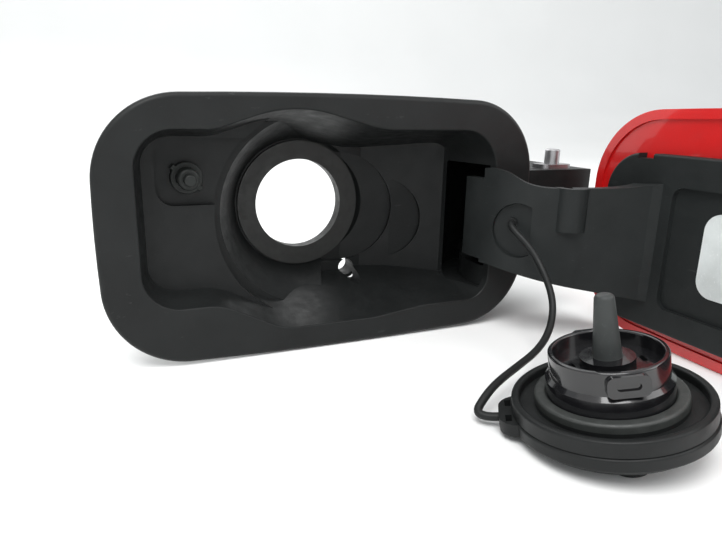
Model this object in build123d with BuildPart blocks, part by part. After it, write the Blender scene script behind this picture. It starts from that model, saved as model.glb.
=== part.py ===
"""Fuel filler flap unit: moulded housing, hinged flap, tethered bayonet cap. Millimetres.

The origin is the centre of the filler hole, +X points to the hinge, +Y into the car and +Z up.
The flap stands open at rest and the cap lies upside down in front of it, on its strap.
"""
from build123d import *
import math
import os

os.makedirs("parts", exist_ok=True)

# Housing: flange, pocket mouth and walls
flange_left = -98.5
flange_right = 107.0
flange_top = 53.5
flange_bottom = -58.5
flange_bow = 2.5
flange_corner = 36.0
flange_front = 55.0
flange_thick = 3.2
flange_edge = 2.2
wall = 2.4
draft = 12.0
mouth_left = -84.5
mouth_right = 87.0
mouth_top = 40.5
mouth_bottom = -46.0
plateau_bottom = -35.0
bulge_rise = 11.0
bulge_left = -52.0
bulge_middle = -18.0
bulge_right = 24.0
sag_drop = 3.5
sag_left = -24.0
sag_right = 22.0
sag_end = 50.0
mouth_rounds = [16.0, 20.0, 60.0, 50.0, 19.0, 12.0, 60.0, 40.0, 30.0, 25.0, 16.0]
mouth_lip = 0.8

# Housing: plateau, funnel, ramp and drain
plateau_depth = 38.0
recess_left = -75.5
recess_right = -28.0
recess_bottom = 7.0
recess_top = 36.0
recess_corner = 8.0
recess_depth = 34.0
funnel_rim = 51.0
funnel_step_depth = 29.0
funnel_step = 4.0
funnel_base = 34.0
hole_radius = 28.0
ramp_left = 12.0
ramp_foot = 35.0
ramp_depth = 3.0
ridge_x = 76.0
ridge_depth = 22.0
crescent_length = 17.0
crescent_slope = 0.28
crescents = [(22.0, -3.0, 30.0), (45.0, -9.0, 22.0)]
drain_x = 27.0
drain_z = -37.0
drain_radius = 4.5
drain_wall = 1.8
drain_reach = 9.0

# Hinge: axis, box, pin and spring
hinge_x = 132.0
hinge_y = -43.0
box_radius = 57.5
box_front = 51.2
box_back = 2.0
box_core = 30.0
box_ahead = 16.0
box_top = 23.2
box_bottom = -29.5
slot_back = 24.0
slot_core = 46.7
slot_bottom = -41.0
ear_top = 18.0
ear_bottom = -26.0
pin_radius = 4.0
pin_top = 30.5
pin_bottom = -33.0
pin_run = 0.08
barrel_radius = 6.4
barrel_top = 7.0
end_play = 0.4
clip_length = 20.0
clip_width = 12.0
clip_thick = 2.2
spring_wire = 1.6
spring_turns = 4

# Flap arm: neck around the flange edge, wedge and inner panel
neck_inner = 48.0
neck_outer = 53.0
neck_top = 22.4
neck_bottom = -26.0
neck_core_top = 17.0
neck_core_bottom = -24.0
neck_start = 178.0
neck_step = 193.0
neck_end = 200.0
web_thick = 5.0
arm_turn = 250.0
arm_join = 4.0
arm_join_y = -104.0
arm_overrun = 1.2
arm_dip = 15.5
arm_end_top = 20.5
arm_end_bottom = -41.0
arm_end_slope = 0.2
scoop_turn = 211.5
scoop_half = 9.5
scoop_top = 5.0
scoop_bottom = -18.0
scoop_depth = 2.4
strap_hole_z = -3.0
strap_hole = 2.0
boss_turn = 242.0
boss_radius = 8.0
boss_proud = 3.4
boss_bottom = -5.0
dimple_radius = 4.2
dimple_depth = 1.5
panel_gap = 0.6
panel_thick = 5.9
panel_right = 103.0
panel_left = -86.0
panel_top = 32.0
panel_bottom = -52.0
panel_corner = 20.0
panel_edge = 1.2
field_right = 63.0
field_left = -40.0
field_top = 18.0
field_bottom = -40.0
field_depth = 2.4
field_corner = 5.0
notch_x = 81.0
notch_length = 9.0
notch_depth = 2.5

# Flap skin and label
skin_left = -99.0
skin_right = 113.5
skin_top = 51.0
skin_bottom = -58.5
skin_bow = 2.5
skin_corner = 38.0
skin_thick = 1.5
skin_edge = 0.6
hem_width = 4.5
hem_thick = 1.2
label_right = 46.0
label_left = -2.0
label_top = 9.0
label_bottom = -29.0
label_corner = 8.0
label_thick = 0.3

# Latch: sleeve in the recess, plunger and its spring
latch_x = -62.0
latch_z = 19.0
collar_radius = 7.0
collar_thick = 3.0
sleeve_radius = 6.0
sleeve_bore = 4.8
sleeve_rear = 10.0
sleeve_end = 2.0
plunger_run = 0.08
plunger_front = 44.5
plunger_rear = 22.0
tip_radius = 2.6
tip_front = 49.0
latch_wire = 0.9
latch_turns = 5

# Neck seal in the filler hole
neck_radius = 23.5
seal_lip_radius = 33.0
seal_lip = 1.6

# Striker on the panel that the plunger holds
striker_radius = 6.2
striker_bore = 4.2
striker_base = 9.0
striker_base_thick = 2.0
striker_reach = 47.5

# Cap: heights are measured down from the plug's rim, which looks up at rest
cap_x = 56.0
cap_y = -167.8
cap_rim = -27.0
cap_lean = 9.8
cap_lean_turn = 151.7
plug_radius = 19.4
plug_wall = 2.0
plug_flare = 1.4
flare_depth = 9.5
plug_floor = 5.0
plug_floor_thick = 2.0
hub_radius = 9.0
hub_bore = 5.0
hub_rise = 2.6
vent_radius = 11.8
vent_length = 5.0
vent_width = 1.8
vent_turn = 2.0
lugs = 2
lug_turn = 91.0
lug_width = 13.4
lug_height = 7.2
lug_depth = 4.2
lug_proud = 1.6
lug_slot = 7.5
seal_depth = 14.8
seal_height = 3.0
seal_width = 4.2
skirt_radius = 33.0
skirt_wall = 2.8
skirt_depth = 15.9
floor_depth = 19.2
floor_thick = 2.0
ring_radius = 33.5
ring_bore = 27.4
ring_height = 4.7
ring_run = 0.3
ring_edge = 0.9
tab_reach = 38.0
tab_turn = -6.0
tab_width = 22.0
tab_slot_length = 4.5
tab_slot_width = 2.2
disc_radius = 30.0
disc_thick = 2.8
grip_length = 50.0
grip_width = 13.0
grip_height = 4.1
pin_base = 4.8
pin_tip = 3.2
pin_rise = 19.6
pin_stem = 2.8
valve_radius = 15.0
valve_thick = 1.6
valve_gap = 0.1
valve_wire = 1.3
valve_turns = 4
valve_coil = 11.0

# Strap between the arm and the cap's ring
strap_radius = 1.6
anchor_head = 3.5
anchor_sunk = 1.4
anchor_bead = 2.4
strap_gap = 0.2
strap_bend = 0.45
strap_route = [
    (84.0, -72.4, -3.4),
    (89.4, -83.4, -12.4),
    (91.2, -92.0, -21.9),
    (89.2, -102.0, -31.0),
    (85.6, -108.0, -38.3),
    (78.5, -114.0, -44.8),
    (67.6, -120.0, -48.8),
    (53.8, -126.0, -50.6),
    (39.9, -133.0, -51.3),
    (29.7, -139.0, -52.4),
]
strap_lead = 9.5

reach = 260.0
flange_plane = Plane.XZ.offset(flange_front)
hinge_axis = Location((hinge_x, hinge_y, 0))
open_swing = hinge_axis * Location((0, 0, 0), (0, 0, 90)) * Location((-hinge_x, -hinge_y, 0))
ramp_slope = (ridge_depth - ramp_depth) / (ridge_x - ramp_foot)


def opened(plane):
    """A plane of the closed flap, swung open about the hinge."""
    return Plane(open_swing * plane.location)


def bowed_outline(plane, left, right, bottom, top, bow, corner):
    """A rounded rectangle whose four sides bow outwards."""
    middle_x = (left + right) / 2
    middle_z = (bottom + top) / 2
    with BuildSketch(plane) as outline:
        with BuildLine():
            ThreePointArc((left, bottom), (middle_x, bottom - bow), (right, bottom))
            ThreePointArc((right, bottom), (right + bow, middle_z), (right, top))
            ThreePointArc((right, top), (middle_x, top + bow), (left, top))
            ThreePointArc((left, top), (left - bow, middle_z), (left, bottom))
        make_face()
        fillet(outline.vertices(), radius=corner)
    return outline.sketch


def rounded_box(plane, left, right, bottom, top, corner):
    """A rounded rectangle given by its four sides."""
    with BuildSketch(plane) as outline:
        with Locations(((left + right) / 2, (bottom + top) / 2)):
            RectangleRounded(right - left, top - bottom, corner)
    return outline.sketch


def mouth_outline(grow):
    """The pocket's edge in the flange: it bulges over the filler and sags under it."""
    corners = [
        (mouth_left, mouth_top),
        (bulge_left, mouth_top),
        (bulge_middle, mouth_top + bulge_rise),
        (bulge_right, mouth_top),
        (mouth_right, mouth_top),
        (mouth_right, mouth_bottom),
        (sag_end, mouth_bottom),
        (sag_right, mouth_bottom - sag_drop),
        (sag_left, mouth_bottom - sag_drop),
        (bulge_left, plateau_bottom),
        (mouth_left, plateau_bottom),
    ]
    with BuildSketch(flange_plane) as outline:
        with BuildLine():
            FilletPolyline(*corners, radius=mouth_rounds, close=True)
        make_face()
        if grow:
            offset(amount=grow)
    return outline.sketch


def pocket_space(grow):
    """The open space of the pocket, with every face moved outwards by grow."""
    with BuildPart() as space:
        with BuildSketch(Plane.XZ.offset(plateau_depth - grow)):
            Rectangle(reach, reach)
        extrude(amount=reach)
        recess = rounded_box(
            Plane.XZ.offset(recess_depth - grow),
            recess_left - grow,
            recess_right + grow,
            recess_bottom - grow,
            recess_top + grow,
            recess_corner,
        )
        extrude(recess, amount=plateau_depth)
        with BuildSketch():
            with BuildLine():
                Polyline(
                    (0, -plateau_depth - wall),
                    (funnel_rim + grow, -plateau_depth - wall),
                    (funnel_rim + grow, -funnel_step_depth + grow),
                    (funnel_rim + grow - funnel_step, -funnel_step_depth + grow),
                    (funnel_base + grow, grow),
                    (0, grow),
                    close=True,
                )
            make_face()
        revolve(axis=Axis.Y)
        with BuildSketch():
            with BuildLine():
                Polyline(
                    (0, -plateau_depth - wall),
                    (mouth_right + wall, -plateau_depth - wall),
                    (mouth_right + wall, -ridge_depth + grow),
                    (ridge_x, -ridge_depth + grow),
                    (ramp_foot, -ramp_depth + grow),
                    (ramp_left - grow, -ramp_depth + grow),
                    close=True,
                )
            make_face()
        extrude(amount=flange_top - flange_bottom, both=True)
        for x, z, radius in crescents:
            start = x + radius - crescent_length
            start_y = grow - ramp_depth - (start - ramp_foot) * ramp_slope
            step_floor = Plane(
                (start, start_y, z), x_dir=(1, -crescent_slope, 0), z_dir=(-crescent_slope, -1, 0)
            )
            with BuildSketch(step_floor):
                with Locations((x - start, 0)):
                    Circle(radius + grow)
            extrude(amount=plateau_depth + start_y)
    with BuildPart() as well:
        extrude(mouth_outline(grow), amount=-flange_front - grow, taper=draft)
        add(space.part, mode=Mode.INTERSECT)
    return well.part


def hinge_space(grow):
    """The room that the neck and the hinge swing in, with every face moved outwards by grow."""
    zones = [
        (hinge_x - box_back, box_core, box_bottom, box_top),
        (hinge_x + box_ahead, 0, ear_bottom, ear_top),
        (hinge_x - slot_back, slot_core, slot_bottom, box_top),
    ]
    with BuildPart() as space:
        for right, core, bottom, top in zones:
            with BuildSketch(Plane.XY.offset(bottom - grow)):
                with Locations((hinge_x, hinge_y)):
                    Circle(box_radius + grow)
                    if core:
                        Circle(core - grow, mode=Mode.SUBTRACT)
                with Locations((right + grow, -box_front - grow)):
                    Rectangle(reach, reach, align=(Align.MAX, Align.MIN), mode=Mode.INTERSECT)
            extrude(amount=top - bottom + 2 * grow)
    return space.part


# Housing: one moulding with the flange, pocket, funnel, ramp, drain and hinge box
with BuildPart() as filler_housing:
    extrude(
        bowed_outline(
            flange_plane, flange_left, flange_right, flange_bottom, flange_top, flange_bow, flange_corner
        ),
        amount=-flange_thick,
    )
    fillet(filler_housing.faces().sort_by(Axis.Y)[0].edges(), radius=flange_edge)
    add(pocket_space(wall))
    add(hinge_space(wall))
    with BuildSketch(Plane.XZ.offset(-drain_reach)):
        with Locations((drain_x, drain_z)):
            Circle(drain_radius + drain_wall)
    extrude(amount=drain_reach + ramp_depth)
    add(pocket_space(0), mode=Mode.SUBTRACT)
    add(hinge_space(0), mode=Mode.SUBTRACT)
    with BuildSketch(Plane.XZ.offset(-drain_reach)):
        with Locations((drain_x, drain_z)):
            Circle(drain_radius)
    extrude(amount=drain_reach + ridge_depth, mode=Mode.SUBTRACT)
    with BuildSketch(Plane.XZ.offset(-wall)):
        Circle(hole_radius)
    extrude(amount=2 * wall, mode=Mode.SUBTRACT)
    with BuildSketch(Plane.XZ.offset(recess_depth - wall)):
        with Locations((latch_x, latch_z)):
            Circle(sleeve_radius)
    extrude(amount=2 * wall, mode=Mode.SUBTRACT)
    with BuildSketch(Plane.XY.offset(pin_bottom)):
        with Locations((hinge_x, hinge_y)):
            Circle(pin_radius)
    extrude(amount=pin_top - pin_bottom, mode=Mode.SUBTRACT)
    front_face = filler_housing.faces().filter_by(Axis.Y).sort_by(Axis.Y)[0]
    fillet(front_face.inner_wires()[0].edges(), radius=mouth_lip)
filler_housing.part.label = "filler_housing"
export_step(filler_housing.part, "parts/filler_housing.step")

# Neck seal: a rubber grommet in the filler hole
with BuildPart() as neck_seal:
    with BuildSketch():
        with BuildLine():
            Polyline(
                (neck_radius, -seal_lip),
                (seal_lip_radius, -seal_lip),
                (seal_lip_radius, 0),
                (hole_radius, 0),
                (hole_radius, wall),
                (hole_radius + wall, wall),
                (hole_radius, wall + 2 * seal_lip),
                (neck_radius, wall + 2 * seal_lip),
                close=True,
            )
        make_face()
    revolve(axis=Axis.Y)
neck_seal.part.label = "neck_seal"
export_step(neck_seal.part, "parts/neck_seal.step")


def coil_spring(plane, coil_radius, wire, turns, length):
    """A round-wire coil that stands on a plane, with its wire inside the given length."""
    rise = length - wire
    with BuildPart() as coil:
        foot = plane.offset(wire / 2).origin
        with BuildLine() as path:
            Helix(rise / turns, rise, coil_radius, center=foot, direction=plane.z_dir)
        with BuildSketch(Plane(path.line @ 0, z_dir=path.line % 0)):
            Circle(wire / 2)
        sweep(path=path.line)
    return coil.part


# Latch: a sleeve through the recess floor, its plunger and the spring behind it
def latch_plane(depth):
    """A plane across the latch axis, so far ahead of the filler hole."""
    return Plane((latch_x, -depth, latch_z), x_dir=(1, 0, 0), z_dir=(0, -1, 0))


with BuildPart() as latch_sleeve:
    with BuildSketch(latch_plane(sleeve_rear)):
        Circle(sleeve_radius)
    extrude(amount=recess_depth - sleeve_rear)
    with BuildSketch(latch_plane(recess_depth)):
        Circle(collar_radius)
        with Locations(Location((0, 0), -40)):
            Rectangle(2 * collar_radius + wall, wall)
    extrude(amount=collar_thick)
    fillet(latch_sleeve.faces().sort_by(Axis.Y)[0].edges(), radius=collar_thick / 5)
    with BuildSketch(latch_plane(sleeve_rear + sleeve_end)):
        Circle(sleeve_bore)
    extrude(amount=recess_depth + collar_thick, mode=Mode.SUBTRACT)
latch_sleeve.part.label = "latch_sleeve"
export_step(latch_sleeve.part, "parts/latch_sleeve.step")

with BuildPart() as latch_plunger:
    with BuildSketch(latch_plane(plunger_rear)):
        Circle(sleeve_bore - plunger_run)
    extrude(amount=plunger_front - plunger_rear)
    fillet(latch_plunger.edges().sort_by(Axis.Y)[0], radius=tip_radius / 2)
    with BuildSketch(latch_plane(plunger_front)):
        Circle(tip_radius)
    extrude(amount=tip_front - plunger_front)
    fillet(latch_plunger.edges().sort_by(Axis.Y)[0], radius=tip_radius / 3)
latch_plunger.part.label = "latch_plunger"
export_step(latch_plunger.part, "parts/latch_plunger.step")

latch_spring = coil_spring(
    latch_plane(sleeve_rear + sleeve_end),
    sleeve_bore - 2 * latch_wire,
    latch_wire,
    latch_turns,
    plunger_rear - sleeve_rear - sleeve_end,
)
latch_spring.label = "latch_spring"
export_step(latch_spring, "parts/latch_spring.step")

# Hinge pin with a head under the lower ear, and a push-on clip over the upper one
with BuildPart() as hinge_pin:
    with BuildSketch(Plane(hinge_axis).offset(pin_bottom)):
        Circle(pin_radius + wall)
    extrude(amount=ear_bottom - wall - pin_bottom)
    with BuildSketch(Plane(hinge_axis).offset(pin_bottom)):
        Circle(pin_radius)
    extrude(amount=pin_top - pin_bottom)
    chamfer(hinge_pin.edges().sort_by(Axis.Z)[-1], length=pin_radius / 6)
hinge_pin.part.label = "hinge_pin"
export_step(hinge_pin.part, "parts/hinge_pin.step")

with BuildPart() as pin_clip:
    with BuildSketch(Plane(hinge_axis).offset(ear_top + wall)):
        RectangleRounded(clip_length, clip_width, clip_width / 3)
        Circle(pin_radius, mode=Mode.SUBTRACT)
        with PolarLocations(pin_radius, 4):
            Rectangle(pin_radius / 2, pin_radius / 4, mode=Mode.SUBTRACT)
    extrude(amount=clip_thick)
pin_clip.part.label = "pin_clip"
export_step(pin_clip.part, "parts/pin_clip.step")

# Hinge spring: a coil round the pin, between the barrel and the upper ear
spring_room = ear_top - barrel_top - 2 * end_play
spring_coil = pin_radius + spring_wire
hinge_spring = coil_spring(
    Plane(hinge_axis).offset(barrel_top + end_play), spring_coil, spring_wire, spring_turns, spring_room
)
hinge_spring.label = "hinge_spring"
export_step(hinge_spring, "parts/hinge_spring.step")


# Flap arm: hinge barrel, web, neck around the flange edge, wedge and inner panel
def around_hinge(radius, turn):
    """A point at a radius and angle about the hinge axis."""
    return Vector(
        hinge_x + radius * math.cos(math.radians(turn)), hinge_y + radius * math.sin(math.radians(turn))
    )


def neck_sector(start, end, bottom, top):
    """A piece of the neck: part of a tube about the hinge axis."""
    middle = (start + end) / 2
    with BuildPart() as sector:
        with BuildSketch(Plane.XY.offset(bottom)):
            with BuildLine():
                ThreePointArc(*(around_hinge(neck_outer, turn) for turn in (start, middle, end)))
                Line(around_hinge(neck_outer, end), around_hinge(neck_inner, end))
                ThreePointArc(*(around_hinge(neck_inner, turn) for turn in (end, middle, start)))
                Line(around_hinge(neck_inner, start), around_hinge(neck_outer, start))
            make_face()
        extrude(amount=top - bottom)
    return sector.part


panel_face = flange_front + panel_gap
panel_x = hinge_x + hinge_y + panel_face
arm_foot = around_hinge(neck_outer, neck_end)
arm_toe = Vector(panel_x - arm_join, arm_join_y)
arm_along = (arm_toe - arm_foot).normalized()
arm_length = (arm_toe - arm_foot).length
arm_face = Plane(arm_foot, x_dir=arm_along, z_dir=arm_along.cross(Vector(0, 0, 1)))
root_turn = 360 - math.degrees(math.acos((panel_x - hinge_x) / neck_inner))
boss_centre = around_hinge(neck_outer + boss_proud - boss_radius, boss_turn)

# The arm bends about the hinge axis, so that it slides through the window as the flap shuts
with BuildPart() as arm_wedge:
    with BuildSketch(Plane.XY.offset(panel_bottom)):
        with BuildLine():
            outer_turns = (neck_end, (neck_end + arm_turn) / 2, arm_turn)
            ThreePointArc(*(around_hinge(neck_outer, turn) for turn in outer_turns))
            Polyline(
                around_hinge(neck_outer, arm_turn),
                arm_toe,
                (panel_x + panel_thick / 2, arm_join_y - arm_join),
                (panel_x + panel_thick / 2, around_hinge(neck_inner, root_turn).Y),
                around_hinge(neck_inner, root_turn),
            )
            inner_turns = (root_turn, (root_turn + neck_end) / 2, neck_end)
            ThreePointArc(*(around_hinge(neck_inner, turn) for turn in inner_turns))
            Line(around_hinge(neck_inner, neck_end), around_hinge(neck_outer, neck_end))
        make_face()
    extrude(amount=panel_top - panel_bottom)
    with BuildSketch(arm_face):
        with BuildLine():
            Spline(
                (0, neck_top),
                (arm_length / 5, (neck_top + 3 * arm_dip) / 4),
                (arm_length / 2, arm_dip),
                (arm_length * arm_overrun, arm_end_top),
                tangents=((1, 0), (1, arm_end_slope)),
            )
            Polyline(
                (arm_length * arm_overrun, arm_end_top),
                (arm_length * arm_overrun, arm_end_bottom),
                (0, neck_bottom),
                (-neck_outer, neck_bottom),
                (-neck_outer, neck_top),
                (0, neck_top),
            )
        make_face()
    extrude(amount=neck_outer, both=True, mode=Mode.INTERSECT)
    with BuildSketch(Plane.XY.offset(boss_bottom)):
        with Locations(boss_centre):
            Circle(boss_radius)
    extrude(amount=arm_dip - boss_bottom)
    with BuildSketch(Plane.XY.offset(arm_dip)):
        with Locations(boss_centre):
            Circle(dimple_radius)
    extrude(amount=-dimple_depth, mode=Mode.SUBTRACT)
    with BuildSketch(Plane(hinge_axis).offset(boss_bottom)):
        Circle(neck_inner)
    extrude(amount=arm_dip - boss_bottom, mode=Mode.SUBTRACT)

scoop_out = around_hinge(1, scoop_turn) - around_hinge(0, scoop_turn)
scoop_plane = Plane(
    around_hinge(neck_outer, scoop_turn), x_dir=Vector(0, 0, 1).cross(scoop_out), z_dir=scoop_out
)
anchor_plane = Plane(
    scoop_plane.from_local_coords((0, strap_hole_z, -scoop_depth)), x_dir=scoop_plane.x_dir, z_dir=scoop_out
)
anchor_rear = neck_inner + anchor_sunk - neck_outer + scoop_depth

panel_plane = opened(Plane.XZ.offset(panel_face))
with BuildPart() as inner_panel:
    extrude(
        rounded_box(panel_plane, panel_left, panel_right, panel_bottom, panel_top, panel_corner),
        amount=panel_thick,
    )
    fillet(inner_panel.faces().sort_by(Axis.X)[0].edges(), radius=panel_edge)

with BuildPart() as flap_arm:
    add(arm_wedge.part)
    add(neck_sector(neck_step, neck_end, neck_bottom, neck_top))
    add(neck_sector(neck_start, neck_step, neck_core_bottom, neck_core_top))
    with BuildSketch(Plane(hinge_axis).offset(ear_bottom + end_play)):
        Circle(barrel_radius)
        with Locations(Location((0, 0), (neck_start + neck_step) / 2)):
            Rectangle(neck_inner + 1, web_thick, align=(Align.MIN, Align.CENTER))
    extrude(amount=barrel_top - ear_bottom - end_play)
    add(inner_panel.part)
    extrude(
        rounded_box(panel_plane, field_left, field_right, field_bottom, field_top, field_corner),
        amount=field_depth,
        mode=Mode.SUBTRACT,
    )
    with BuildSketch(panel_plane):
        with Locations((notch_x, panel_top)):
            Rectangle(notch_length, 2 * notch_depth)
    extrude(amount=panel_thick, mode=Mode.SUBTRACT)
    with BuildSketch(scoop_plane.offset(-scoop_depth)):
        with BuildLine():
            ThreePointArc(
                (scoop_half, scoop_top),
                (-scoop_half, (scoop_top + scoop_bottom) / 2),
                (scoop_half, scoop_bottom),
            )
            Line((scoop_half, scoop_bottom), (scoop_half, scoop_top))
        make_face()
    extrude(amount=2 * scoop_depth, taper=-draft, mode=Mode.SUBTRACT)
    with BuildSketch(anchor_plane.offset(scoop_depth)):
        Circle(strap_hole)
    extrude(amount=-2 * (neck_outer - neck_inner), mode=Mode.SUBTRACT)
    with BuildSketch(anchor_plane.offset(anchor_rear)):
        Circle(anchor_head + pin_run)
    extrude(amount=-2 * anchor_sunk, mode=Mode.SUBTRACT)
    with BuildSketch(Plane(hinge_axis).offset(ear_bottom)):
        Circle(pin_radius + pin_run)
    extrude(amount=ear_top - ear_bottom, mode=Mode.SUBTRACT)
flap_arm.part.label = "flap_arm"
export_step(flap_arm.part, "parts/flap_arm.step")

# Flap skin: a painted panel with a hemmed edge
skin_face = panel_face + panel_thick
with BuildPart() as flap_skin:
    hem_plane = opened(Plane.XZ.offset(skin_face - hem_thick))
    extrude(
        bowed_outline(hem_plane, skin_left, skin_right, skin_bottom, skin_top, skin_bow, skin_corner),
        amount=hem_thick + skin_thick,
    )
    fillet(flap_skin.faces().sort_by(Axis.X)[-1].edges(), radius=skin_edge)
    extrude(
        bowed_outline(
            hem_plane,
            skin_left + hem_width,
            skin_right - hem_width,
            skin_bottom + hem_width,
            skin_top - hem_width,
            skin_bow,
            skin_corner - hem_width,
        ),
        amount=hem_thick,
        mode=Mode.SUBTRACT,
    )
flap_skin.part.label = "flap_skin"
export_step(flap_skin.part, "parts/flap_skin.step")

with BuildPart() as flap_label:
    label_plane = opened(Plane.XZ.offset(panel_face + field_depth))
    extrude(
        rounded_box(label_plane, label_left, label_right, label_bottom, label_top, label_corner),
        amount=-label_thick,
    )
flap_label.part.label = "flap_label"
export_step(flap_label.part, "parts/flap_label.step")

# Striker: a socket on the panel that the plunger's tip holds
with BuildPart() as flap_striker:
    with BuildSketch(opened(Plane.XZ.offset(panel_face))):
        with Locations((latch_x, latch_z)):
            Circle(striker_base)
    extrude(amount=-striker_base_thick)
    with BuildSketch(opened(Plane.XZ.offset(panel_face))):
        with Locations((latch_x, latch_z)):
            Circle(striker_radius)
    extrude(amount=striker_reach - panel_face)
    with BuildSketch(opened(Plane.XZ.offset(striker_reach))):
        with Locations((latch_x, latch_z)):
            Circle(striker_bore)
    extrude(amount=panel_face - striker_base_thick - striker_reach, mode=Mode.SUBTRACT)
flap_striker.part.label = "flap_striker"
export_step(flap_striker.part, "parts/flap_striker.step")

# Strap anchor: a stud riveted through the arm, with a bead in the scoop and a flush head behind
with BuildPart() as strap_anchor:
    with BuildSketch(anchor_plane):
        Circle(anchor_bead)
    extrude(amount=strap_radius)
    with BuildSketch(anchor_plane):
        Circle(strap_hole - pin_run)
    extrude(amount=anchor_rear)
    with BuildSketch(anchor_plane.offset(anchor_rear)):
        Circle(anchor_head)
    extrude(amount=strap_gap - anchor_sunk)
strap_anchor.part.label = "strap_anchor"
export_step(strap_anchor.part, "parts/strap_anchor.step")

# Cap: every piece is drawn about the cap axis, with heights measured down from the plug's rim
lean_way = Vector(1, 0, 0).rotate(Axis.Z, cap_lean_turn)
lean_axis = Axis((0, 0, 0), Vector(0, 0, 1).cross(lean_way))
cap_plane = Plane(
    (cap_x, cap_y, cap_rim),
    x_dir=lean_way.rotate(lean_axis, cap_lean),
    z_dir=Vector(0, 0, 1).rotate(lean_axis, cap_lean),
)
cap_axis = Axis(cap_plane.origin, cap_plane.z_dir)


def cap_level(depth):
    """A plane across the cap axis at a depth below the plug's rim."""
    return cap_plane.offset(-depth)


def turned(points):
    """A solid turned about the cap axis from a profile of (radius, depth) points."""
    with BuildPart() as solid:
        with BuildSketch(Plane(cap_plane.origin, x_dir=cap_plane.x_dir, z_dir=-cap_plane.y_dir)):
            with BuildLine():
                Polyline(*((radius, -depth) for radius, depth in points), close=True)
            make_face()
        revolve(axis=cap_axis)
    return solid.part


plug_base = plug_radius + plug_flare
plug_bore = plug_radius - plug_wall
floor_under = plug_floor + plug_floor_thick
with BuildPart() as cap_plug:
    add(
        turned(
            [
                (plug_bore, 0),
                (plug_radius, 0),
                (plug_radius, flare_depth - plug_flare),
                (plug_base, flare_depth),
                (plug_base, floor_depth),
                (plug_bore, floor_depth),
                (plug_bore, floor_under),
                (hub_bore, floor_under),
                (hub_bore, plug_floor - hub_rise),
                (hub_radius, plug_floor - hub_rise),
                (hub_radius, plug_floor),
                (plug_bore, plug_floor),
            ]
        )
    )
    fillet(cap_plug.edges().group_by(cap_axis)[-1], radius=plug_wall / 3)
    with BuildSketch(cap_level(floor_under)):
        with PolarLocations(vent_radius, 2, vent_turn):
            SlotOverall(vent_length, vent_width, rotation=90)
    extrude(amount=2 * plug_floor_thick, mode=Mode.SUBTRACT)
    for lug in range(lugs):
        turn = lug_turn + lug * 360 / lugs
        outward = cap_plane.x_dir.rotate(cap_axis, turn)
        lug_plane = Plane(cap_level(lug_depth).origin, x_dir=outward.rotate(cap_axis, 90), z_dir=outward)
        with BuildSketch(lug_plane.offset(plug_bore + plug_wall / 2)):
            RectangleRounded(lug_width, lug_height, lug_height / 3)
        extrude(amount=plug_wall / 2 + lug_proud)
        with BuildSketch(lug_plane.offset(plug_radius + lug_proud / 2)):
            SlotOverall(lug_slot, lug_height / 3)
        extrude(amount=lug_proud, mode=Mode.SUBTRACT)
cap_plug.part.label = "cap_plug"
export_step(cap_plug.part, "parts/cap_plug.step")

with BuildPart() as cap_seal:
    add(
        turned(
            [
                (plug_base, seal_depth),
                (plug_base + seal_width, seal_depth),
                (plug_base + seal_width, seal_depth + seal_height),
                (plug_base, seal_depth + seal_height),
            ]
        )
    )
    fillet(cap_seal.edges().group_by(cap_axis)[-1], radius=seal_width / 4)
cap_seal.part.label = "cap_seal"
export_step(cap_seal.part, "parts/cap_seal.step")

seat_depth = seal_depth + seal_height
floor_bottom = floor_depth + floor_thick
with BuildPart() as cap_skirt:
    add(
        turned(
            [
                (hub_radius, floor_depth),
                (plug_base, floor_depth),
                (plug_base, seat_depth),
                (plug_base + seal_width, seat_depth),
                (plug_base + seal_width, floor_depth),
                (skirt_radius - skirt_wall, floor_depth),
                (skirt_radius - skirt_wall, skirt_depth),
                (skirt_radius, skirt_depth),
                (skirt_radius, floor_bottom),
                (hub_radius, floor_bottom),
            ]
        )
    )
    fillet(cap_skirt.edges().group_by(cap_axis)[-1], radius=skirt_wall / 3)
cap_skirt.part.label = "cap_skirt"
export_step(cap_skirt.part, "parts/cap_skirt.step")

ring_top = floor_bottom + ring_run
ring_bottom = ring_top + ring_height
with BuildPart() as tether_ring:
    add(
        turned(
            [
                (ring_bore, ring_top),
                (ring_radius, ring_top),
                (ring_radius, ring_bottom),
                (ring_bore, ring_bottom),
            ]
        )
    )
    fillet(tether_ring.edges().filter_by(GeomType.CIRCLE).sort_by(SortBy.RADIUS)[2:], radius=ring_edge)
    with BuildSketch(cap_level(ring_bottom)):
        with Locations(Location((0, 0), tab_turn)):
            with Locations((tab_reach - ring_radius / 2, 0)):
                RectangleRounded(ring_radius, tab_width, tab_width / 3)
        Circle(ring_bore + ring_edge, mode=Mode.SUBTRACT)
    extrude(amount=ring_height)
    with BuildSketch(cap_level(ring_top)):
        with Locations(Location((0, 0), tab_turn)):
            with Locations((ring_radius + tab_slot_width / 2, tab_width / 4)):
                Rectangle(tab_slot_width, tab_slot_length)
            with Locations((ring_radius + tab_slot_width / 2, -tab_width / 4)):
                Rectangle(tab_slot_width, tab_slot_length)
    extrude(amount=-ring_height / 2, mode=Mode.SUBTRACT)
tether_ring.part.label = "tether_ring"
export_step(tether_ring.part, "parts/tether_ring.step")

disc_top = ring_bottom + ring_run
with BuildPart() as cap_cover:
    add(
        turned(
            [
                (0, floor_bottom),
                (ring_bore - ring_run, floor_bottom),
                (ring_bore - ring_run, disc_top),
                (disc_radius, disc_top),
                (disc_radius, disc_top + disc_thick),
                (0, disc_top + disc_thick),
            ]
        )
    )
    fillet(cap_cover.edges().group_by(cap_axis)[0], radius=disc_thick / 2)
    with BuildSketch(cap_level(disc_top + disc_thick)):
        SlotOverall(grip_length, grip_width, rotation=90)
    extrude(amount=-grip_height, taper=draft / 2)
cap_cover.part.label = "cap_cover"
export_step(cap_cover.part, "parts/cap_cover.step")

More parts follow.
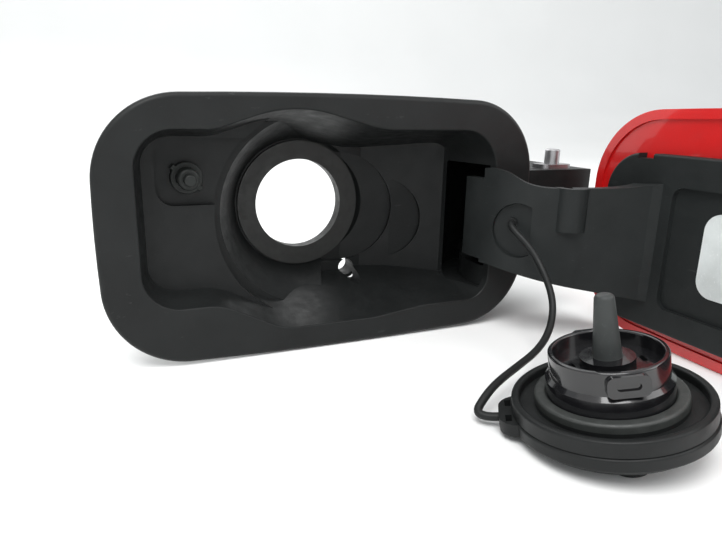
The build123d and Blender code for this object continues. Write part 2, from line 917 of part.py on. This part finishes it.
with BuildPart() as centre_pin:
    add(
        turned(
            [
                (0, -pin_rise),
                (pin_tip, -pin_rise),
                (pin_base, plug_floor - hub_rise),
                (hub_bore - pin_run, plug_floor - hub_rise),
                (hub_bore - pin_run, floor_under),
                (pin_stem, floor_under),
                (pin_stem, floor_depth),
                (0, floor_depth),
            ]
        )
    )
    fillet(centre_pin.edges().group_by(cap_axis)[-1], radius=pin_tip / 2)
centre_pin.part.label = "centre_pin"
export_step(centre_pin.part, "parts/centre_pin.step")

valve_top = floor_under + valve_gap
with BuildPart() as valve_plate:
    add(
        turned(
            [
                (hub_bore, valve_top),
                (valve_radius, valve_top),
                (valve_radius, valve_top + valve_thick),
                (hub_bore, valve_top + valve_thick),
            ]
        )
    )
valve_plate.part.label = "valve_plate"
export_step(valve_plate.part, "parts/valve_plate.step")

valve_spring = coil_spring(
    cap_level(floor_depth), valve_coil, valve_wire, valve_turns, floor_depth - valve_top - valve_thick
)
valve_spring.label = "valve_spring"
export_step(valve_spring, "parts/valve_spring.step")


# Strap: a round cord from the anchor's bead to the end of the tab
def bend_radii(points):
    """For each inner corner, the bend that takes a fixed share of the shorter run beside it."""
    radii = []
    for before, corner, after in zip(points, points[1:], points[2:]):
        turn = math.radians((corner - before).get_angle(after - corner))
        run = min((corner - before).length, (after - corner).length)
        radii.append(strap_bend * run / math.tan(turn / 2))
    return radii


tab_way = cap_plane.x_dir.rotate(cap_axis, tab_turn)
tab_end = cap_level(ring_top + ring_height / 2).origin + tab_way * tab_reach
strap_points = [anchor_plane.offset(strap_radius + strap_gap).origin]
strap_points += [Vector(*point) for point in strap_route]
strap_points += [tab_end + tab_way * strap_lead, tab_end]
with BuildPart() as strap:
    with BuildLine() as strap_path:
        FilletPolyline(*strap_points, radius=bend_radii(strap_points))
    with BuildSketch(Plane(strap_path.line @ 0, z_dir=strap_path.line % 0)):
        Circle(strap_radius)
    sweep(path=strap_path.line)
strap.part.label = "strap"
export_step(strap.part, "parts/strap.step")
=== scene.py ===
"""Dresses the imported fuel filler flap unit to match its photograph. Metres, in the part's frame."""

import bpy
from mathutils import Matrix, Vector


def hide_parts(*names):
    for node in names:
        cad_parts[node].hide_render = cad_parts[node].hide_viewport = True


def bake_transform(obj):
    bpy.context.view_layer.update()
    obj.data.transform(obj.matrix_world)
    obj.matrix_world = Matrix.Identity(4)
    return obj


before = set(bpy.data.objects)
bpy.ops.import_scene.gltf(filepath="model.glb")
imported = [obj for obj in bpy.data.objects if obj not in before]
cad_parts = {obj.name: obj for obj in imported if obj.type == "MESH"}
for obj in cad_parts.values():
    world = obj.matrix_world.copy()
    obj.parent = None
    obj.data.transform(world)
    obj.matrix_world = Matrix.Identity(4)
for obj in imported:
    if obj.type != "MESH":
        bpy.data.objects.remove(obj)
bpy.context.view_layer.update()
scene = bpy.context.scene

MM = 0.001
FLOOR_Z = -0.0613
ROOM = 3.0
STRAP_DIAMETER = 0.0032
AMBIENT_TINT = (0.95, 0.98, 1.0, 1)
AMBIENT_LEVEL = 0.75

# Camera at the photograph's viewpoint
CAMERA_AT = (-0.0969, -0.3080, 0.0501)
CAMERA_RIGHT = (0.9181433, -0.3957176, 0.0205062)
CAMERA_UP = (0.0857536, 0.2489569, 0.9647107)
CAMERA_BACK = (-0.3868581, -0.8839842, 0.2625123)
CAMERA_SENSOR = 36.0
CAMERA_LENS = 29.917

camera_data = bpy.data.cameras.new("camera")
camera_data.sensor_fit = "HORIZONTAL"
camera_data.sensor_width = CAMERA_SENSOR
camera_data.lens = CAMERA_LENS
camera_data.clip_start = 0.01
camera = bpy.data.objects.new("camera", camera_data)
scene.collection.objects.link(camera)
axes = (CAMERA_RIGHT, CAMERA_UP, CAMERA_BACK)
rows = [[axis[i] for axis in axes] + [CAMERA_AT[i]] for i in range(3)]
camera.matrix_world = Matrix(rows + [[0, 0, 0, 1]])
scene.camera = camera
scene.view_settings.view_transform = "Standard"


def add_mesh(name, points, faces):
    """A new mesh object from points in metres."""
    mesh = bpy.data.meshes.new(name)
    mesh.from_pydata([tuple(point) for point in points], [], faces)
    mesh.update()
    piece = bpy.data.objects.new(name, mesh)
    scene.collection.objects.link(piece)
    return piece


# Procedural materials
class Look:
    """A node material with a Principled shader and helpers that add procedural detail to it."""

    def __init__(self, name, colour, roughness, **sockets):
        self.material = bpy.data.materials.new(name)
        self.material.use_nodes = True
        self.tree = self.material.node_tree
        self.shader = self.tree.nodes["Principled BSDF"]
        self.shader.inputs["Base Color"].default_value = (*colour, 1)
        self.shader.inputs["Roughness"].default_value = roughness
        for socket, value in sockets.items():
            self.shader.inputs[socket.replace("_", " ")].default_value = value
        self.where = self.tree.nodes.new("ShaderNodeTexCoord").outputs["Object"]

    def link(self, a, b):
        self.tree.links.new(a, b)

    def noise(self, scale, detail=3.0, rough=0.55, stretch=None):
        """A noise value between 0 and 1, stretched along the axes where asked."""
        node = self.tree.nodes.new("ShaderNodeTexNoise")
        node.inputs["Scale"].default_value = scale
        node.inputs["Detail"].default_value = detail
        node.inputs["Roughness"].default_value = rough
        where = self.where
        if stretch:
            mapping = self.tree.nodes.new("ShaderNodeMapping")
            mapping.inputs["Scale"].default_value = stretch
            self.link(where, mapping.inputs["Vector"])
            where = mapping.outputs["Vector"]
        self.link(where, node.inputs["Vector"])
        return node.outputs["Fac"]

    def ramp(self, value, low, high, out_low=0.0, out_high=1.0):
        """A value mapped from one span to another and held inside it."""
        node = self.tree.nodes.new("ShaderNodeMapRange")
        node.inputs["From Min"].default_value = low
        node.inputs["From Max"].default_value = high
        node.inputs["To Min"].default_value = out_low
        node.inputs["To Max"].default_value = out_high
        self.link(value, node.inputs["Value"])
        return node.outputs["Result"]

    def mix(self, factor, first, second):
        """A colour mixed between two colours or sockets."""
        node = self.tree.nodes.new("ShaderNodeMix")
        node.data_type = "RGBA"
        self.link(factor, node.inputs["Factor"])
        for key, value in (("A", first), ("B", second)):
            socket = next(s for s in node.inputs if s.name == key and s.type == "RGBA")
            if isinstance(value, tuple):
                socket.default_value = (*value, 1)
            else:
                self.link(value, socket)
        return next(s for s in node.outputs if s.type == "RGBA")

    def bump(self, height, strength, distance):
        """Surface relief from a height value, on top of any relief that is there."""
        node = self.tree.nodes.new("ShaderNodeBump")
        node.inputs["Strength"].default_value = strength
        node.inputs["Distance"].default_value = distance
        self.link(height, node.inputs["Height"])
        normal = self.shader.inputs["Normal"]
        if normal.is_linked:
            self.link(normal.links[0].from_socket, node.inputs["Normal"])
        self.link(node.outputs["Normal"], normal)

    def paint(self, socket):
        self.link(socket, self.shader.inputs["Base Color"])

    def vary_roughness(self, value, low, high):
        self.link(self.ramp(value, 0.3, 0.7, low, high), self.shader.inputs["Roughness"])


def shade(colour, factor):
    """A colour made lighter or darker."""
    return tuple(min(1.0, channel * factor) for channel in colour)


def moulded(name, colour, roughness, grain=0.12, scuffs=0.0, gloss=0.2, **sockets):
    """Moulded plastic: fine grain, soft clouding, a dusty bloom and, where asked, pale scuffs."""
    look = Look(name, colour, roughness, **sockets)
    look.shader.inputs["Specular IOR Level"].default_value = gloss
    cloud = look.ramp(look.noise(scale=38, detail=4), low=0.35, high=0.65)
    tone = look.mix(cloud, shade(colour, 0.86), shade(colour, 1.12))
    dust = look.ramp(look.noise(scale=900, detail=2, rough=0.6), low=0.60, high=0.78, out_high=0.35)
    tone = look.mix(dust, tone, shade(colour, 1.7))
    if scuffs:
        streak = look.noise(scale=120, detail=5, rough=0.7, stretch=(1.0, 0.5, 3.0))
        worn = look.ramp(streak, low=0.66, high=0.74, out_high=scuffs)
        tone = look.mix(worn, tone, shade(colour, 5.0))
    look.paint(tone)
    look.vary_roughness(look.noise(scale=160, detail=4), low=roughness - 0.08, high=roughness + 0.1)
    look.bump(look.noise(scale=2600, detail=2, rough=0.5), strength=grain, distance=0.00025)
    look.bump(look.noise(scale=60, detail=2, rough=0.5), strength=grain * 0.5, distance=0.0006)
    return look.material


def rubber(name, colour, roughness):
    """Rubber: soft mottle with a fine pitted skin."""
    look = Look(name, colour, roughness)
    mottle = look.ramp(look.noise(scale=140, detail=4), low=0.35, high=0.65)
    look.paint(look.mix(mottle, shade(colour, 0.8), shade(colour, 1.18)))
    look.vary_roughness(look.noise(scale=300, detail=3), low=roughness - 0.1, high=roughness + 0.1)
    look.bump(look.noise(scale=1700, detail=3, rough=0.6), strength=0.16, distance=0.0003)
    return look.material


def steel(name, colour, roughness, stretch):
    """Drawn or turned steel with fine lines along one way."""
    look = Look(name, colour, roughness, Metallic=1.0)
    lines = look.noise(scale=900, detail=3, rough=0.6, stretch=stretch)
    bands = look.ramp(lines, low=0.3, high=0.7)
    look.paint(look.mix(bands, shade(colour, 0.75), shade(colour, 1.15)))
    look.vary_roughness(lines, low=roughness - 0.08, high=roughness + 0.12)
    look.bump(lines, strength=0.08, distance=0.0002)
    return look.material


def body_paint(name, colour):
    """Car paint: a red base with fine flake, a clear coat and a faint orange peel."""
    look = Look(name, colour, 0.32, Coat_Weight=1.0, Coat_Roughness=0.04)
    flake = look.ramp(look.noise(scale=5200, detail=2, rough=0.5), low=0.55, high=0.75)
    tone = look.mix(flake, colour, shade(colour, 1.6))
    cloud = look.ramp(look.noise(scale=14, detail=3), low=0.35, high=0.65)
    look.paint(look.mix(cloud, tone, shade(colour, 0.82)))
    look.vary_roughness(look.noise(scale=90, detail=3), low=0.28, high=0.36)
    look.bump(look.noise(scale=420, detail=2, rough=0.5), strength=0.02, distance=0.0002)
    return look.material


housing_look = moulded("housing_plastic", (0.011, 0.012, 0.012), 0.44, grain=0.14, scuffs=0.6)
arm_look = moulded("arm_plastic", (0.015, 0.017, 0.017), 0.48, grain=0.16, scuffs=0.3)
cap_look = moulded("cap_plastic", (0.012, 0.013, 0.013), 0.42, grain=0.10, scuffs=0.2)
strap_look = moulded("strap_plastic", (0.014, 0.015, 0.015), 0.44, grain=0.08)
latch_look = moulded("latch_plastic", (0.017, 0.019, 0.018), 0.38, grain=0.06)
plug_look = moulded(
    "plug_plastic", (0.008, 0.008, 0.009), 0.14, grain=0.02, scuffs=0.1, gloss=0.5, Coat_Weight=0.4
)
centre_look = moulded("centre_plastic", (0.048, 0.052, 0.051), 0.40, grain=0.08, scuffs=0.1)
label_look = moulded("label_film", (0.640, 0.670, 0.660), 0.38, grain=0.04)
paint_look = body_paint("skin_paint", (0.66, 0.010, 0.010))
neck_look = rubber("neck_rubber", (0.012, 0.013, 0.012), 0.52)
seal_look = rubber("seal_rubber", (0.034, 0.037, 0.035), 0.50)
pin_look = steel("pin_steel", (0.42, 0.42, 0.43), 0.34, (1.0, 1.0, 14.0))
spring_look = steel("spring_steel", (0.52, 0.52, 0.54), 0.28, (4.0, 4.0, 4.0))

looks = {
    "filler_housing": housing_look,
    "neck_seal": neck_look,
    "latch_sleeve": latch_look,
    "latch_plunger": latch_look,
    "latch_spring": spring_look,
    "hinge_pin": pin_look,
    "pin_clip": pin_look,
    "hinge_spring": spring_look,
    "flap_arm": arm_look,
    "flap_skin": paint_look,
    "flap_label": label_look,
    "flap_striker": latch_look,
    "strap_anchor": strap_look,
    "tether_ring": cap_look,
    "cap_cover": cap_look,
    "cap_skirt": cap_look,
    "cap_seal": seal_look,
    "cap_plug": plug_look,
    "centre_pin": centre_look,
    "valve_plate": centre_look,
    "valve_spring": spring_look,
}
for node, look in looks.items():
    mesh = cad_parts[node].data
    mesh.materials.clear()
    mesh.materials.append(look)

# Strap: one smooth line from the anchor in the arm to the tab on the cap's ring
STRAP_ROUTE = [
    (87.322, -70.379, -3.0),
    (84.0, -72.4, -3.4),
    (89.4, -83.4, -12.4),
    (91.2, -92.0, -21.9),
    (89.2, -102.0, -31.0),
    (85.6, -108.0, -38.3),
    (78.5, -114.0, -44.8),
    (67.6, -120.0, -48.8),
    (53.8, -126.0, -50.6),
    (39.9, -133.0, -51.3),
    (29.7, -139.0, -52.4),
    (20.942, -143.284, -58.543),
    (28.668, -148.572, -56.935),
]


def route_curve(name, route, bevel):
    """A NURBS curve through a route in millimetres, with a round bevel where asked."""
    curve = bpy.data.curves.new(name, "CURVE")
    curve.dimensions = "3D"
    curve.bevel_depth = bevel
    curve.bevel_resolution = 5
    curve.resolution_u = 16
    curve.use_fill_caps = True
    spline = curve.splines.new("NURBS")
    spline.points.add(len(route) - 1)
    for point, place in zip(spline.points, route):
        point.co = (*(value * MM for value in place), 1.0)
    spline.order_u = 3
    spline.use_endpoint_u = True
    return curve


def curve_mesh(name, curve):
    """The mesh that a curve makes, as a new mesh."""
    carrier = bpy.data.objects.new(name, curve)
    scene.collection.objects.link(carrier)
    depsgraph = bpy.context.evaluated_depsgraph_get()
    mesh = bpy.data.meshes.new_from_object(carrier.evaluated_get(depsgraph))
    bpy.data.objects.remove(carrier)
    return mesh


strap_line = curve_mesh("strap_line", route_curve("strap_line", STRAP_ROUTE, 0.0))
strap_mesh = curve_mesh("strap_tube", route_curve("strap_tube", STRAP_ROUTE, STRAP_DIAMETER / 2))
for polygon in strap_mesh.polygons:
    polygon.use_smooth = True
strap_mesh.materials.clear()
strap_mesh.materials.append(strap_look)
strap = bpy.data.objects.new("tether_strap", strap_mesh)
scene.collection.objects.link(strap)
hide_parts("strap")
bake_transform(strap)


def coil(node):
    """A spring as a piece of its own: a copy of the spring's mesh, with the original part hidden."""
    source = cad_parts[node]
    piece = bpy.data.objects.new(node + "_coil", source.data.copy())
    scene.collection.objects.link(piece)
    piece.matrix_world = source.matrix_world
    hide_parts(node)
    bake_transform(piece)


coil("latch_spring")
coil("valve_spring")

# Floor, world and lamps
floor_look = Look("floor_paper", (0.93, 0.93, 0.92), 0.9)
paper = floor_look.ramp(floor_look.noise(scale=5, detail=3), low=0.3, high=0.7)
floor_look.paint(floor_look.mix(paper, (0.92, 0.92, 0.91), (0.94, 0.94, 0.93)))
sweep = [(-ROOM, 0), (0.9, 0), (1.1, 0.03), (1.28, 0.12), (1.40, 0.28), (1.46, 0.5), (1.5, ROOM)]
corners = [(x, y, FLOOR_Z + z) for y, z in sweep for x in (-ROOM, ROOM)]
bands = [(2 * k, 2 * k + 1, 2 * k + 3, 2 * k + 2) for k in range(len(sweep) - 1)]
floor = add_mesh("floor", corners, bands)
for polygon in floor.data.polygons:
    polygon.use_smooth = True
floor.data.materials.append(floor_look.material)

world = bpy.data.worlds.new("world")
scene.world = world
world.use_nodes = True
tree = world.node_tree
ambient = tree.nodes["Background"]
ambient.inputs["Color"].default_value = AMBIENT_TINT
ambient.inputs["Strength"].default_value = AMBIENT_LEVEL
white = tree.nodes.new("ShaderNodeBackground")
white.inputs["Color"].default_value = (1, 1, 1, 1)
white.inputs["Strength"].default_value = 1.0
rays = tree.nodes.new("ShaderNodeLightPath")
seen = rays.outputs["Is Camera Ray"]
for name in ("Is Glossy Ray", "Is Transmission Ray"):
    either = tree.nodes.new("ShaderNodeMath")
    either.operation = "MAXIMUM"
    tree.links.new(seen, either.inputs[0])
    tree.links.new(rays.outputs[name], either.inputs[1])
    seen = either.outputs[0]
choice = tree.nodes.new("ShaderNodeMixShader")
tree.links.new(seen, choice.inputs["Fac"])
tree.links.new(ambient.outputs[0], choice.inputs[1])
tree.links.new(white.outputs[0], choice.inputs[2])
tree.links.new(choice.outputs[0], tree.nodes["World Output"].inputs["Surface"])


def lamp(name, place, target, size, power):
    """A soft square lamp that looks at a target."""
    data = bpy.data.lights.new(name, "AREA")
    data.size = size
    data.energy = power
    light = bpy.data.objects.new(name, data)
    scene.collection.objects.link(light)
    light.location = place
    light.rotation_euler = (Vector(target) - Vector(place)).to_track_quat("-Z", "Y").to_euler()


lamp("key", (-0.35, -0.55, 0.95), (0.03, -0.10, -0.02), 0.7, 11.0)
lamp("fill", (0.75, -0.70, 0.60), (0.06, -0.10, -0.02), 0.8, 5.0)
lamp("back", (0.10, 0.80, 0.80), (0.03, -0.05, 0.0), 0.8, 4.0)
